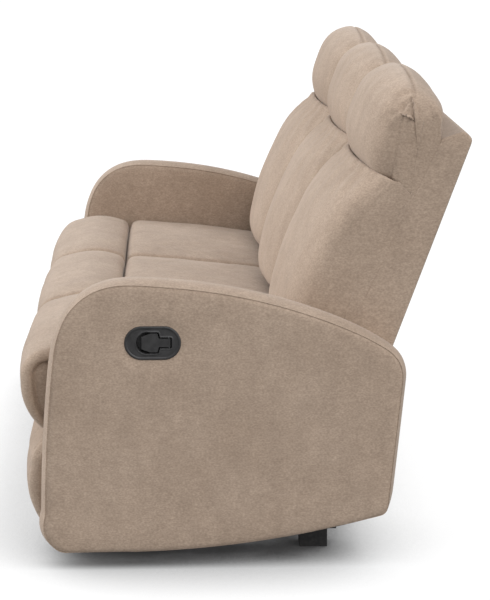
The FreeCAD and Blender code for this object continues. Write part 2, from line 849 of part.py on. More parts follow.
def make_footrest(side, middle):
    reach = half - s.frame_margin
    board_y = (board_front, board_back)
    board_z = (s.board_low, board_top)
    board = block(f"{side}_foot_board", both(middle, reach), board_y, board_z)
    keep(board, f"{side}_footrest_board")
    stuffed(f"{side}_footrest_pad", middle, half, pad_edges)
    near, far = layer(3)
    boss = s.link_half
    y, z = toe_joint
    corners = [
        (board_back, z - s.foot_bracket_half),
        (board_back, z + s.foot_bracket_half),
        (y + boss, z + boss),
        (y + boss, z - boss),
    ]
    pieces = []
    ear_near = s.flap_half + s.link_gap
    ear_far = ear_near + s.flap_ear
    ear_y = (board_back, flap_hinge[0] + s.flap_barrel_radius)
    ear_z = (flap_hinge[1] - s.flap_barrel_radius, board_top)
    for word, hand in HANDS.items():
        x = span(middle, hand, near, far)
        pieces.append(prism(f"{side}_{word}_foot_bracket", x, corners, [(toe_joint, running_radius)]))
        ear_x = span(middle, hand, ear_near, ear_far)
        pieces.append(block(f"{side}_{word}_flap_ear", ear_x, ear_y, ear_z))
    pieces.append(rod(f"{side}_flap_rod", both(middle, ear_near), *flap_hinge, s.flap_pin_radius))
    keep(group(f"{side}_bracket_group", pieces), f"{side}_footrest_brackets")


def make_flap(side, middle):
    """The flap hangs behind the footrest board on a rod, with its padded face to the rear."""
    y, z = flap_hinge
    x = both(middle, s.flap_half)
    board_y = both(y, s.flap_board_thickness / 2)
    pad_y = (board_y[1], board_y[1] + s.flap_pad_thickness)
    low = z - s.flap_length
    leaf = block(f"{side}_flap_leaf", x, board_y, (low, z))
    barrel = rod(f"{side}_flap_barrel", x, y, z, s.flap_barrel_radius)
    solid = join(f"{side}_flap_solid", [leaf, barrel])
    eye = rod(f"{side}_flap_eye", x, y, z, s.flap_pin_radius + s.pin_clearance)
    keep(carve(f"{side}_flap_cut", solid, eye), f"{side}_flap_board")
    top = (z - s.flap_barrel_radius * 2).value
    bottom = low.value

    def edges_at(fullness):
        back = pad_y[0].value + s.flap_pad_thickness.value * (0.5 + 0.5 * fullness)
        front = pad_y[0].value
        edge = front + s.flap_pad_thickness.value * 0.35
        return [
            ((front, bottom), (front, top)),
            ((front, top), (edge, top)),
            ((edge, top), (back, (top + bottom) / 2), (edge, bottom)),
            ((edge, bottom), (front, bottom)),
        ]

    stuffed(f"{side}_flap_pad", middle, s.flap_half, edges_at)


# Backs: an upholstered tray round a timber frame, with a cushion and a headrest on its front


def along_back(low_y, top_y, z):
    return low_y + (top_y - low_y) * (z - shell_low) / s.shell_height


def front_face(z):
    return along_back(s.shell_front_low, s.shell_front_top, z)


def rear_face(z):
    return along_back(s.shell_rear_low, s.shell_rear_top, z)


def make_shell(side, middle):
    """A tray of upholstered panels: rear panel, two cheeks and a sloping top cap."""
    wall = s.shell_wall
    roof = shell_top - wall
    rear_panel = [
        (s.shell_rear_low - wall, shell_low),
        (s.shell_rear_low, shell_low),
        (rear_face(roof), roof),
        (rear_face(roof) - wall, roof),
    ]
    cheek = [
        (s.shell_front_low, shell_low),
        (s.shell_rear_low - wall, shell_low),
        (rear_face(roof) - wall, roof),
        (front_face(roof), roof),
    ]
    cap = [
        (front_face(roof), roof),
        (rear_face(roof), roof),
        (s.shell_rear_top, shell_top),
        (s.shell_rear_top - s.shell_ridge, shell_top + s.shell_ridge),
        (s.shell_front_top, shell_top),
    ]
    pieces = [
        prism(f"{side}_rear_panel", both(middle, half), rear_panel),
        prism(f"{side}_back_cap", both(middle, half), cap),
    ]
    for word, hand in HANDS.items():
        x = span(middle, hand, half - wall, half)
        pieces.append(prism(f"{side}_{word}_cheek", x, cheek))
    keep(group(f"{side}_shell_group", pieces), f"{side}_back_shell")


def make_back_frame(side, middle):
    low = shell_low + s.shell_wall
    high = shell_top - s.shell_wall
    stile_far = layer(1)[0]
    stile_near = stile_far - s.stile_width
    stile = [
        (front_face(low), low),
        (rear_face(low) - s.shell_wall, low),
        (rear_face(high) - s.shell_wall, high),
        (front_face(high), high),
    ]
    sheet_corners = [
        (front_face(low), low),
        (front_face(low) + s.panel_thickness, low),
        (front_face(high) + s.panel_thickness, high),
        (front_face(high), high),
    ]
    pieces = []
    leg_y = (s.rear_stretcher, s.rear_stretcher + s.stretcher_depth)
    for word, hand in HANDS.items():
        x = span(middle, hand, stile_near, stile_far)
        pieces.append(prism(f"{side}_{word}_stile", x, stile))
        if side == "middle":
            pieces.append(block(f"back_leg_{word}", x, leg_y, (stretcher_top, low)))
    pieces.append(prism(f"{side}_back_panel", both(middle, stile_near), sheet_corners))
    keep(group(f"{side}_back_frame_group", pieces), f"{side}_back_frame")


def make_back_brackets(side, middle):
    elbow = shell_low + s.bracket_rise / 3
    top = shell_low + s.bracket_rise
    width = s.bracket_half * 2
    y, z = hinge
    corners = [
        (y - s.bracket_half, z - s.bracket_half),
        (y + s.bracket_half, z - s.bracket_half),
        (front_face(elbow) + width * 2.5, elbow),
        (front_face(top) + width * 2, top),
        (front_face(top) + s.bracket_half, top),
        (y - s.bracket_half / 2, z + s.bracket_half * 1.5),
    ]
    pieces = []
    for word, hand in HANDS.items():
        x = span(middle, hand, *layer(1))
        pieces.append(prism(f"{side}_{word}_back_bracket", x, corners, [(hinge, running_radius)]))
    keep(group(f"{side}_back_bracket_group", pieces), f"{side}_back_brackets")


def nape_at(fullness):
    """The front of the crease between headrest and back cushion, drawn in towards the seat's sides."""
    drawn = s.nape_draw.value * (1 - fullness)
    return nape_front.value + drawn, nape_high.value - drawn


def make_back_cushion(side, middle):
    low = back_low.value
    tall = (nape_high - back_low).value
    gap = s.nape_gap.value
    belly_depth = s.back_belly.value
    nape_rear = (front_face(nape_low).value - gap / 2, nape_low.value - gap)
    base_rear = (front_face(back_low).value, low)
    belly_y = base_rear[0] - s.back_thick.value

    def edges_at(fullness):
        drawn = s.back_draw.value * (1 - fullness)
        nape_y, nape_z = nape_at(fullness)
        top = (nape_y, nape_z - gap)
        nape_middle = ((top[0] + nape_rear[0]) / 2 - tall * 0.03, (top[1] + nape_rear[1]) / 2 - tall * 0.06)
        chest = (belly_y + belly_depth + drawn, low + tall * 0.655)
        belly = (belly_y + drawn, low + tall * 0.16)
        base = (belly_y + belly_depth * 0.5 + drawn * 0.5, low)
        upper = ((top[0] + chest[0]) / 2 - s.back_bow.value, (top[1] + chest[1]) / 2)
        lower = ((chest[0] + belly[0]) / 2 - s.back_bow.value * 0.55, (chest[1] + belly[1]) / 2)
        return [
            (base_rear, nape_rear),
            (nape_rear, nape_middle, top),
            (top, upper, chest),
            (chest, lower, belly),
            (belly, (belly[0] + belly_depth * 0.06, low + tall * 0.05), base),
            (base, base_rear),
        ]

    stuffed(f"{side}_back_cushion", middle, half, edges_at)


def make_headrest(side, middle):
    top = (shell_top + s.head_rise).value
    front = (s.shell_front_top - s.head_thick).value
    low = (front_face(nape_low).value, nape_low.value)
    rear = ((front_face(shell_top) - s.nape_gap * 2).value, shell_top.value)
    tall = top - low[1]

    def edges_at(fullness):
        drawn = s.head_draw.value * (1 - fullness)
        nape_y, nape_z = nape_at(fullness)
        chin = (nape_y, nape_z + s.nape_gap.value)
        under = ((chin[0] + low[0]) / 2 - tall * 0.045, (chin[1] + low[1]) / 2 - tall * 0.09)
        crest = (front + (rear[0] - front) * 0.62, top - drawn)
        nape = (rear[0] + s.head_overhang.value - drawn * 0.4, top - tall * 0.34 - drawn * 0.6)
        brow = (front + tall * 0.09 + drawn * 0.8, top - tall * 0.36 - drawn * 0.6)
        crown_rear = ((crest[0] + nape[0]) / 2 + tall * 0.065, (crest[1] + nape[1]) / 2 + tall * 0.085)
        crown_front = ((crest[0] + brow[0]) / 2 - tall * 0.02, (crest[1] + brow[1]) / 2 + tall * 0.1)
        cheek = ((brow[0] + chin[0]) / 2 - tall * 0.06, (brow[1] + chin[1]) / 2)
        return [
            (low, rear),
            (rear, nape),
            (nape, crown_rear, crest),
            (crest, crown_front, brow),
            (brow, cheek, chin),
            (chin, under, low),
        ]

    stuffed(f"{side}_headrest", middle, half, edges_at)


def make_seat(side, middle):
    make_seat_frame(side, middle)
    make_webbing(side, middle)
    make_seat_cushion(side, middle)
    make_knee_roll(side, middle)
    make_shell(side, middle)
    make_back_frame(side, middle)
    make_back_cushion(side, middle)
    make_headrest(side, middle)
    if side == "middle":
        stuffed("middle_front_pad", middle, half, pad_edges)
        return
    make_plates(side, middle)
    make_links(side, middle)
    make_footrest(side, middle)
    make_flap(side, middle)
    make_back_brackets(side, middle)


make_base()
lever_pins = [make_arm("left", 1), make_arm("right", -1)]
keep(group("lever_pin_group", lever_pins), "lever_pins")
for seat_side, seat_middle in seat_middles.items():
    make_seat(seat_side, seat_middle)
doc.recompute()

# Every object has to be sound before anything is written

for item in doc.Objects:
    if {"Invalid", "Error"} & set(item.State):
        raise RuntimeError(f"{item.Label} failed: {item.State}")
for node in nodes:
    if node.Shape.isNull() or not node.Shape.isValid():
        raise RuntimeError(f"{node.Label} has no valid shape")

os.makedirs("parts", exist_ok=True)
for node in nodes:
    node.Shape.exportStep(f"parts/{node.Label}.step")

whole = FreeCAD.BoundBox()
for node in nodes:
    whole.add(node.Shape.BoundBox)
print(len(nodes), "nodes,", whole)
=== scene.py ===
"""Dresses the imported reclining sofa: upholstery, handles, materials, light and camera."""

import json
import math
from dataclasses import dataclass

import bmesh
import bpy
import numpy as np
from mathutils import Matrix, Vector, noise


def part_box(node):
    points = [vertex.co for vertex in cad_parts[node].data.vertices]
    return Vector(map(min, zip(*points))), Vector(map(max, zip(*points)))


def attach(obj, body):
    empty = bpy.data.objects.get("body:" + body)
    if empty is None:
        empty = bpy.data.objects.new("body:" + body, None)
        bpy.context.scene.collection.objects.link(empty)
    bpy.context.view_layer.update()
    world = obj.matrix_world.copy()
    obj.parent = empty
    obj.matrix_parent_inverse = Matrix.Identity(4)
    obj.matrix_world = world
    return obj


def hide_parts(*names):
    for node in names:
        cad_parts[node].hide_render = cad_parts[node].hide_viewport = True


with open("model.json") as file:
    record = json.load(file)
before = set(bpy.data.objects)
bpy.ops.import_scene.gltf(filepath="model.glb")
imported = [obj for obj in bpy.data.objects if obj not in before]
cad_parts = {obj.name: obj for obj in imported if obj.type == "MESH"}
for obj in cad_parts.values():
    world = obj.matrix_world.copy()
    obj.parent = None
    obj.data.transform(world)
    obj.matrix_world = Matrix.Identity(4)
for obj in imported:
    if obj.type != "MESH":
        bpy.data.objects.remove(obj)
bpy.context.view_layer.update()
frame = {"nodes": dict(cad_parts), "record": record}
MM = 0.001
SEATS = ("left", "middle", "right")


# Materials

def new_material(name):
    material = bpy.data.materials.new(name)
    material.use_nodes = True
    nodes = material.node_tree.nodes
    return material, nodes, material.node_tree.links, nodes["Principled BSDF"]


def noise_texture(nodes, links, coordinates, scale, detail, stretch=(1.0, 1.0, 1.0)):
    mapping = nodes.new("ShaderNodeMapping")
    mapping.inputs["Scale"].default_value = stretch
    texture = nodes.new("ShaderNodeTexNoise")
    texture.inputs["Scale"].default_value = scale
    texture.inputs["Detail"].default_value = detail
    links.new(coordinates, mapping.inputs["Vector"])
    links.new(mapping.outputs["Vector"], texture.inputs["Vector"])
    return texture.outputs["Fac"]


def ramp(nodes, links, factor, stops):
    node = nodes.new("ShaderNodeValToRGB")
    elements = node.color_ramp.elements
    while len(elements) < len(stops):
        elements.new(0.5)
    for element, (position, colour) in zip(elements, stops):
        element.position = position
        element.color = (*colour, 1.0)
    links.new(factor, node.inputs["Fac"])
    return node.outputs["Color"]


def blended(nodes, links, first, second, factor):
    """The first colour multiplied by the second, by the given share."""
    mix = nodes.new("ShaderNodeMix")
    mix.data_type = "RGBA"
    mix.blend_type = "MULTIPLY"
    mix.inputs["Factor"].default_value = factor
    links.new(first, mix.inputs["A"])
    links.new(second, mix.inputs["B"])
    return mix.outputs["Result"]


def bump(nodes, links, shader, height, strength, distance):
    node = nodes.new("ShaderNodeBump")
    node.inputs["Strength"].default_value = strength
    node.inputs["Distance"].default_value = distance
    links.new(height, node.inputs["Height"])
    links.new(node.outputs["Normal"], shader.inputs["Normal"])


def from_srgb(*levels):
    return tuple(((level / 255 + 0.055) / 1.055) ** 2.4 for level in levels)


def suede():
    """Brushed micro-suede: soft clouds and brush marks over fine flecks."""
    material, nodes, links, shader = new_material("micro_suede")
    place = nodes.new("ShaderNodeTexCoord").outputs["Object"]
    clouds = noise_texture(nodes, links, place, 7.0, 4.0)
    strokes = noise_texture(nodes, links, place, 26.0, 5.0, (1.0, 1.0, 0.6))
    nap = noise_texture(nodes, links, place, 110.0, 5.0, (1.0, 0.45, 1.3))
    heather = noise_texture(nodes, links, place, 330.0, 3.0, (1.0, 0.6, 1.0))
    grain = noise_texture(nodes, links, place, 800.0, 2.0)
    tone = ramp(nodes, links, clouds, ((0.3, from_srgb(171, 151, 133)), (0.7, from_srgb(181, 161, 143))))
    marks = ramp(nodes, links, strokes, ((0.32, (0.86, 0.855, 0.85)), (0.68, (1.1, 1.1, 1.1))))
    brushed = ramp(nodes, links, nap, ((0.3, (0.9, 0.89, 0.885)), (0.7, (1.05, 1.05, 1.05))))
    flecks = ramp(nodes, links, heather, ((0.3, (0.78, 0.77, 0.76)), (0.7, (1.1, 1.1, 1.1))))
    speck = ramp(nodes, links, grain, ((0.3, (0.84, 0.83, 0.82)), (0.7, (1.06, 1.06, 1.06))))
    tone = blended(nodes, links, tone, marks, 0.42)
    tone = blended(nodes, links, tone, brushed, 0.8)
    tone = blended(nodes, links, tone, flecks, 0.95)
    tone = blended(nodes, links, tone, speck, 0.6)
    links.new(tone, shader.inputs["Base Color"])
    shader.inputs["Roughness"].default_value = 0.93
    shader.inputs["Specular IOR Level"].default_value = 0.18
    shader.inputs["Sheen Weight"].default_value = 0.25
    shader.inputs["Sheen Roughness"].default_value = 0.5
    shader.inputs["Sheen Tint"].default_value = (*from_srgb(242, 236, 230), 1.0)
    bump(nodes, links, shader, heather, 0.3, 0.0008)
    return material


def satin_plastic():
    material, nodes, links, shader = new_material("satin_black_plastic")
    place = nodes.new("ShaderNodeTexCoord").outputs["Object"]
    leather = noise_texture(nodes, links, place, 1400.0, 2.0)
    wear = noise_texture(nodes, links, place, 60.0, 3.0)
    colour = ramp(nodes, links, wear, ((0.3, from_srgb(40, 39, 39)), (0.7, from_srgb(56, 55, 55))))
    links.new(colour, shader.inputs["Base Color"])
    shader.inputs["Roughness"].default_value = 0.42
    bump(nodes, links, shader, leather, 0.18, 0.0004)
    return material


def foot_plastic():
    material, nodes, links, shader = new_material("moulded_foot_plastic")
    place = nodes.new("ShaderNodeTexCoord").outputs["Object"]
    scuffs = noise_texture(nodes, links, place, 120.0, 5.0, (0.4, 1.0, 1.0))
    colour = ramp(nodes, links, scuffs, ((0.35, from_srgb(30, 29, 29)), (0.75, from_srgb(52, 50, 49))))
    links.new(colour, shader.inputs["Base Color"])
    shader.inputs["Roughness"].default_value = 0.6
    bump(nodes, links, shader, scuffs, 0.25, 0.0006)
    return material


def wood(name, dark, light, roughness):
    material, nodes, links, shader = new_material(name)
    place = nodes.new("ShaderNodeTexCoord").outputs["Object"]
    rings = noise_texture(nodes, links, place, 24.0, 8.0, (0.12, 1.0, 1.0))
    fibre = noise_texture(nodes, links, place, 260.0, 3.0, (0.06, 1.0, 1.0))
    tone = ramp(nodes, links, rings, ((0.35, dark), (0.65, light)))
    shade = ramp(nodes, links, fibre, ((0.35, (0.84, 0.82, 0.8)), (0.7, (1.0, 1.0, 1.0))))
    links.new(blended(nodes, links, tone, shade, 0.8), shader.inputs["Base Color"])
    shader.inputs["Roughness"].default_value = roughness
    bump(nodes, links, shader, fibre, 0.3, 0.0008)
    return material


def steel(name, dark, light, metallic, roughness):
    material, nodes, links, shader = new_material(name)
    place = nodes.new("ShaderNodeTexCoord").outputs["Object"]
    peel = noise_texture(nodes, links, place, 800.0, 2.0)
    dust = noise_texture(nodes, links, place, 45.0, 5.0)
    links.new(ramp(nodes, links, dust, ((0.3, dark), (0.75, light))), shader.inputs["Base Color"])
    shader.inputs["Metallic"].default_value = metallic
    shader.inputs["Roughness"].default_value = roughness
    bump(nodes, links, shader, peel, 0.15, 0.0004)
    return material


def woven_webbing():
    material, nodes, links, shader = new_material("woven_webbing")
    place = nodes.new("ShaderNodeTexCoord").outputs["Object"]
    weave = nodes.new("ShaderNodeTexChecker")
    weave.inputs["Scale"].default_value = 400.0
    links.new(place, weave.inputs["Vector"])
    fuzz = noise_texture(nodes, links, place, 300.0, 4.0)
    tone = ramp(nodes, links, fuzz, ((0.3, from_srgb(44, 43, 42)), (0.7, from_srgb(84, 82, 79))))
    links.new(blended(nodes, links, tone, weave.outputs["Color"], 0.25), shader.inputs["Base Color"])
    shader.inputs["Roughness"].default_value = 0.85
    bump(nodes, links, shader, weave.outputs["Fac"], 0.3, 0.0006)
    return material


FABRIC = suede()
FINISHES = {
    "upholstery": FABRIC,
    "webbing": woven_webbing(),
    "timber": wood("sawn_pine", from_srgb(176, 138, 96), from_srgb(214, 182, 138), 0.75),
    "base_paint": wood("black_stained_timber", from_srgb(26, 24, 23), from_srgb(46, 43, 41), 0.6),
    "mechanism_steel": steel("black_powder_coat", from_srgb(28, 28, 30), from_srgb(44, 44, 46), 0.0, 0.45),
    "bright_steel": steel("zinc_plate", from_srgb(165, 166, 168), from_srgb(196, 197, 199), 1.0, 0.32),
    "handle_plastic": satin_plastic(),
    "foot_plastic": foot_plastic(),
}


def paint_cad_nodes():
    for part in frame["record"]["subparts"]:
        mesh = frame["nodes"][part["node"]].data
        mesh.materials.clear()
        mesh.materials.append(FINISHES[part["material_slot"]])


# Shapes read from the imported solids

def chains(edges):
    """Cut edges joined end to end, as lists of vertices."""
    neighbours = {}
    for edge in edges:
        for here, there in (edge.verts, reversed(edge.verts)):
            neighbours.setdefault(here, []).append(there)
    loops = []
    while neighbours:
        vertex = next(iter(neighbours))
        loop = []
        while vertex is not None:
            loop.append(vertex)
            onward = [other for other in neighbours.pop(vertex) if other in neighbours]
            vertex = onward[0] if onward else None
        loops.append(loop)
    return loops


def cut_loop(node, x, count):
    """The outer outline of a CAD node in the plane at x, as evenly spaced points (y, z)."""
    shape = bmesh.new()
    shape.from_mesh(frame["nodes"][node].data)
    bmesh.ops.remove_doubles(shape, verts=shape.verts, dist=1e-6)
    everything = shape.verts[:] + shape.edges[:] + shape.faces[:]
    result = bmesh.ops.bisect_plane(shape, geom=everything, plane_co=(x, 0, 0), plane_no=(1, 0, 0))
    cut = [piece for piece in result["geom_cut"] if isinstance(piece, bmesh.types.BMEdge)]
    outlines = [np.array([(v.co.y, v.co.z) for v in loop]) for loop in chains(cut)]
    shape.free()
    return resampled(max(outlines, key=perimeter), count)


def perimeter(points):
    return np.linalg.norm(points - np.roll(points, 1, axis=0), axis=1).sum()


def area_of(points):
    following = np.roll(points, -1, axis=0)
    return 0.5 * np.sum(points[:, 0] * following[:, 1] - following[:, 0] * points[:, 1])


def resampled(points, count):
    """The closed outline with evenly spaced points, anticlockwise in (y, z), from below its middle."""
    if area_of(points) < 0:
        points = points[::-1]
    closed = np.vstack([points, points[:1]])
    along = np.concatenate([[0.0], np.cumsum(np.linalg.norm(np.diff(closed, axis=0), axis=1))])
    fine = np.linspace(0.0, along[-1], 4000, endpoint=False)
    dense = np.column_stack([np.interp(fine, along, closed[:, axis]) for axis in (0, 1)])
    middle = (dense.min(axis=0) + dense.max(axis=0)) / 2
    below = np.where(dense[:, 1] < middle[1], np.abs(dense[:, 0] - middle[0]), np.inf)
    dense = np.roll(dense, -int(np.argmin(below)), axis=0)
    return dense[np.linspace(0, 4000, count, endpoint=False).astype(int)]


def smoothed(values, width):
    """A closed run of values, averaged over about width points each way."""
    reach = int(width * 3) + 1
    offsets = np.arange(-reach, reach + 1)
    weights = np.exp(-0.5 * (offsets / width) ** 2)
    weights /= weights.sum()
    return sum(weight * np.roll(values, offset, axis=0) for offset, weight in zip(offsets, weights))


def outward(loop):
    """Unit outward normals of an anticlockwise outline."""
    tangent = np.roll(loop, -1, axis=0) - np.roll(loop, 1, axis=0)
    normal = np.column_stack([tangent[:, 1], -tangent[:, 0]])
    return normal / np.maximum(np.linalg.norm(normal, axis=1, keepdims=True), 1e-9)


def skin(name, rows):
    """A closed mesh over rows of outline points, the first and last rows drawn together to a point."""
    rows = np.asarray(rows)
    count = rows.shape[1]
    body = rows.reshape(-1, 3)
    points = np.vstack([rows[0].mean(axis=0), body, rows[-1].mean(axis=0)])
    here = np.arange(count)
    ahead = np.roll(here, -1)
    faces = [(0, 1 + b, 1 + a) for a, b in zip(here, ahead)]
    for row in range(len(rows) - 1):
        low = 1 + row * count
        high = low + count
        faces += [(low + a, low + b, high + b, high + a) for a, b in zip(here, ahead)]
    last = 1 + (len(rows) - 1) * count
    faces += [(last + a, last + b, len(points) - 1) for a, b in zip(here, ahead)]
    mesh = bpy.data.meshes.new(name)
    mesh.from_pydata(points.tolist(), [], faces)
    obj = bpy.data.objects.new(name, mesh)
    bpy.context.collection.objects.link(obj)
    tidy = bmesh.new()
    tidy.from_mesh(mesh)
    bmesh.ops.recalc_face_normals(tidy, faces=tidy.faces)
    tidy.to_mesh(mesh)
    tidy.free()
    mesh.polygons.foreach_set("use_smooth", [True] * len(mesh.polygons))
    return obj


def get_points(obj):
    flat = np.empty(len(obj.data.vertices) * 3)
    obj.data.vertices.foreach_get("co", flat)
    return flat.reshape(-1, 3)


def set_points(obj, points):
    obj.data.vertices.foreach_set("co", np.ascontiguousarray(points).ravel())
    obj.data.update()


def get_normals(obj):
    flat = np.empty(len(obj.data.vertices) * 3)
    obj.data.vertices.foreach_get("normal", flat)
    return flat.reshape(-1, 3)


def dress(obj, body, node, fill):
    """Puts an upholstered piece in the place of its CAD solid."""
    obj.data.materials.append(FABRIC)
    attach(obj, body)
    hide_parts(node)


def body_of_place(seat, word):
    return "base" if seat == "middle" else f"{seat}_{word}"


def pit(distance, depth, width):
    """How far a seam pulls the cover in at a distance from it."""
    return depth * np.exp(-0.5 * (distance / width) ** 2)


def waves(points, size, seed, stretch=(1.0, 1.0, 1.0)):
    """Smooth noise from about -1 to 1 at each point, with features about size across."""
    shift = Vector((seed * 3.17, seed * 1.93, seed * 2.71))
    scale = [factor / size for factor in stretch]
    values = [noise.noise(Vector((x * scale[0], y * scale[1], z * scale[2])) + shift) for x, y, z in points]
    return np.array(values)


def step(values, low, high):
    share = np.clip((values - low) / (high - low), 0.0, 1.0)
    return share * share * (3 - 2 * share)


# Upholstered slabs: arms, back shells and rear skirt. The handle plates and seat straps are here too.

def panel_rows(loop, x, outside, edge_shape, rings):
    """Rings of an end panel from its middle to its seam.

    Each point is set out by edge_shape(its distance from the seam, loop).
    """
    centre = loop.mean(axis=0)
    reach = np.linalg.norm(loop - centre, axis=1)
    rows = []
    for ring in range(1, rings + 1):
        share = 1 - (1 - ring / rings) ** 1.6
        flat = centre + (loop - centre) * share
        puff = edge_shape(reach * (1 - share), loop)
        rows.append(np.column_stack([x + outside * puff, flat]))
    return rows


def tight_panel(bulge, seam_depth):
    """The edge shape of a padded panel that its seam draws in."""
    def edge_shape(edge, loop):
        return bulge * (1 - np.exp(-edge / (14 * MM))) - pit(edge, seam_depth, 3 * MM)
    return edge_shape


def slab_rows(loops, places, outside, edge_shape, rings):
    """End panel, band and end panel of a slab whose outline at each place along X is given."""
    first = panel_rows(loops[0], places[0], -outside, edge_shape, rings)
    last = panel_rows(loops[-1], places[-1], outside, edge_shape, rings)
    band = [np.column_stack([np.full(len(loop), x), loop]) for loop, x in zip(loops[1:-1], places[1:-1])]
    return first + band + last[::-1]


def distance_outside(points, loop):
    """Distance of points from a closed outline, negative inside it."""
    following = np.roll(loop, -1, axis=0)
    nearest = np.full(len(points), np.inf)
    inside = np.zeros(len(points), bool)
    for start, stop in zip(loop, following):
        run = stop - start
        share = np.clip(((points - start) @ run) / max(run @ run, 1e-15), 0.0, 1.0)
        nearest = np.minimum(nearest, np.linalg.norm(points - start - share[:, None] * run, axis=1))
        if start[1] != stop[1]:
            spans = (start[1] > points[:, 1]) != (stop[1] > points[:, 1])
            crossing = start[0] + (points[:, 1] - start[1]) * run[0] / run[1]
            inside ^= spans & (points[:, 0] < crossing)
    return np.where(inside, -nearest, nearest)


class Oval:
    """The oval of a handle's bezel in the arm's side."""

    def __init__(self, side):
        low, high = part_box(f"{side}_handle_bezel")
        self.y = (low[1] + high[1]) / 2
        self.z = (low[2] + high[2]) / 2
        self.radius = (high[2] - low[2]) / 2
        self.reach = (high[1] - low[1]) / 2 - self.radius
        self.face = max(abs(low[0]), abs(high[0]))

    def distance(self, y, z):
        """How far places lie from the oval's middle line."""
        return np.hypot(np.maximum(np.abs(y - self.y) - self.reach, 0.0), z - self.z)


def eased(loop):
    """An arm's outline with the arcs of its top run smoothly into each other."""
    upper = step(loop[:, 1:], 0.44, 0.52)
    return smoothed(loop, 1.2) * (1 - upper) + smoothed(loop, 9) * upper


ARM_SEAM_SHARE = 0.992
ARM_BAND_ROWS = 21
ARM_PANEL_RINGS = 34
ARM_PANEL_BULGE = 4 * MM
SEAM_DEPTH = 2.2 * MM


def make_arm(side, hand):
    """Two flat side panels joined by a band that is crowned between its seams."""
    node = f"{side}_arm_cover"
    low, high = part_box(node)
    near, far = sorted((low[0], high[0]), key=abs)
    middle, half = (near + far) / 2, (far - near) / 2
    seam, crest = (eased(cut_loop(node, middle + half * share, 520)) for share in (ARM_SEAM_SHARE, 0.0))
    swell = smoothed(-distance_outside(seam, crest), 4)[:, None] * smoothed(outward(seam), 2)
    across = np.sin(np.linspace(-0.5, 0.5, ARM_BAND_ROWS) * math.pi)
    loops = [seam + swell * (1 - u * u) for u in across]
    panel = tight_panel(ARM_PANEL_BULGE, SEAM_DEPTH)
    obj = skin(f"{side}_arm", slab_rows(loops, middle + half * across, hand, panel, ARM_PANEL_RINGS))
    points = get_points(obj)
    oval = Oval(side)
    distance = oval.distance(points[:, 1], points[:, 2])
    outside = points[:, 0] * hand
    settle = 1 - step(distance, oval.radius - 2 * MM, oval.radius + 26 * MM)
    over = np.maximum(outside - abs(far), 0.0)
    on_panel = step(outside, abs(far) - 1 * MM, abs(far) + 2 * MM)
    uneven = waves(points, 0.11, 2 + hand) * 0.9 * MM * (1 - settle) * on_panel
    points[:, 0] += hand * (uneven - over * settle)
    set_points(obj, points)
    hole = bmesh.new()
    hole.from_mesh(obj.data)
    doomed = []
    for f in hole.faces:
        spot = f.calc_center_median()
        inside = oval.distance(spot.y, spot.z) < oval.radius - 5 * MM
        if inside and spot.x * hand > abs(far) - 20 * MM:
            doomed.append(f)
    bmesh.ops.delete(hole, geom=doomed, context="FACES")
    hole.to_mesh(obj.data)
    hole.free()
    dress(obj, "base", node, 0.9)


RIM = 3 * MM
RIM_STEP = 1.4 * MM
LEVER_CLEARANCE = 2.2 * MM
SCOOP_CLEARANCE = 3 * MM
SCOOP_AHEAD = 11 * MM
SCOOP_DEPTH = 20 * MM


def make_bezel(side, hand):
    """An oval plate with a rolled rim, open round the lever and scooped out in front of its paddle."""
    oval = Oval(side)
    lever = f"{side}_release_lever"
    lever_low, lever_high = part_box(lever)
    lever_outline = cut_loop(lever, hand * (oval.face - 5 * MM), 160)
    turn = np.linspace(0.0, 2 * math.pi, 240, endpoint=False)
    ends = np.sign(np.cos(turn)) * oval.reach
    edge = resampled(np.column_stack([np.cos(turn) * oval.radius + ends, np.sin(turn) * oval.radius]), 360)
    spine = np.column_stack([np.clip(edge[:, 0], -oval.reach, oval.reach), np.zeros(len(edge))])
    cup_radius = (lever_high[2] - lever_low[2]) / 2 + SCOOP_CLEARANCE
    cup_middle = np.array([lever_low[1] - SCOOP_AHEAD + cup_radius, oval.z])
    rows = []
    for share in np.linspace(0.02, 1.0, 60):
        flat = spine + (edge - spine) * share + (oval.y, oval.z)
        from_rim = oval.radius * (1 - share)
        rim = math.sqrt(max(1 - ((from_rim - RIM) / RIM) ** 2, 0.0))
        plate = (RIM if from_rim < RIM else RIM_STEP) * (rim - 1)
        around = distance_outside(flat, lever_outline) - LEVER_CLEARANCE
        scoop = np.linalg.norm(flat - cup_middle, axis=1) - cup_radius
        opening = np.minimum(around, scoop)
        lip = pit(opening - 1.6 * MM, 0.9 * MM, 1.1 * MM)
        depth = SCOOP_DEPTH * step(-opening, -0.4 * MM, 0.8 * MM)
        rows.append(np.column_stack([hand * (oval.face + plate + lip - depth), flat]))
    for share, depth in ((1.0, 4 * MM), (0.74, 4 * MM), (0.74, 24 * MM)):
        flat = spine + (edge - spine) * share + (oval.y, oval.z)
        rows.append(np.column_stack([np.full(len(edge), hand * (oval.face - depth)), flat]))
    obj = skin(f"{side}_bezel", rows)
    obj.data.materials.append(FINISHES["handle_plastic"])
    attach(obj, "base")
    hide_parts(f"{side}_handle_bezel")


def hull(points):
    """The convex outline round points, anticlockwise."""
    ordered = sorted(map(tuple, np.round(points, 6)))
    outline = []
    for run in (ordered, ordered[::-1]):
        start = len(outline)
        for p in run:
            while len(outline) >= start + 2:
                (ay, az), (by, bz) = outline[-2], outline[-1]
                if (by - ay) * (p[1] - az) - (bz - az) * (p[0] - ay) > 0:
                    break
                outline.pop()
            outline.append(p)
        outline.pop()
    return np.array(outline)


SLAB_BULGE = 2 * MM
SLAB_PANEL_RINGS = 16


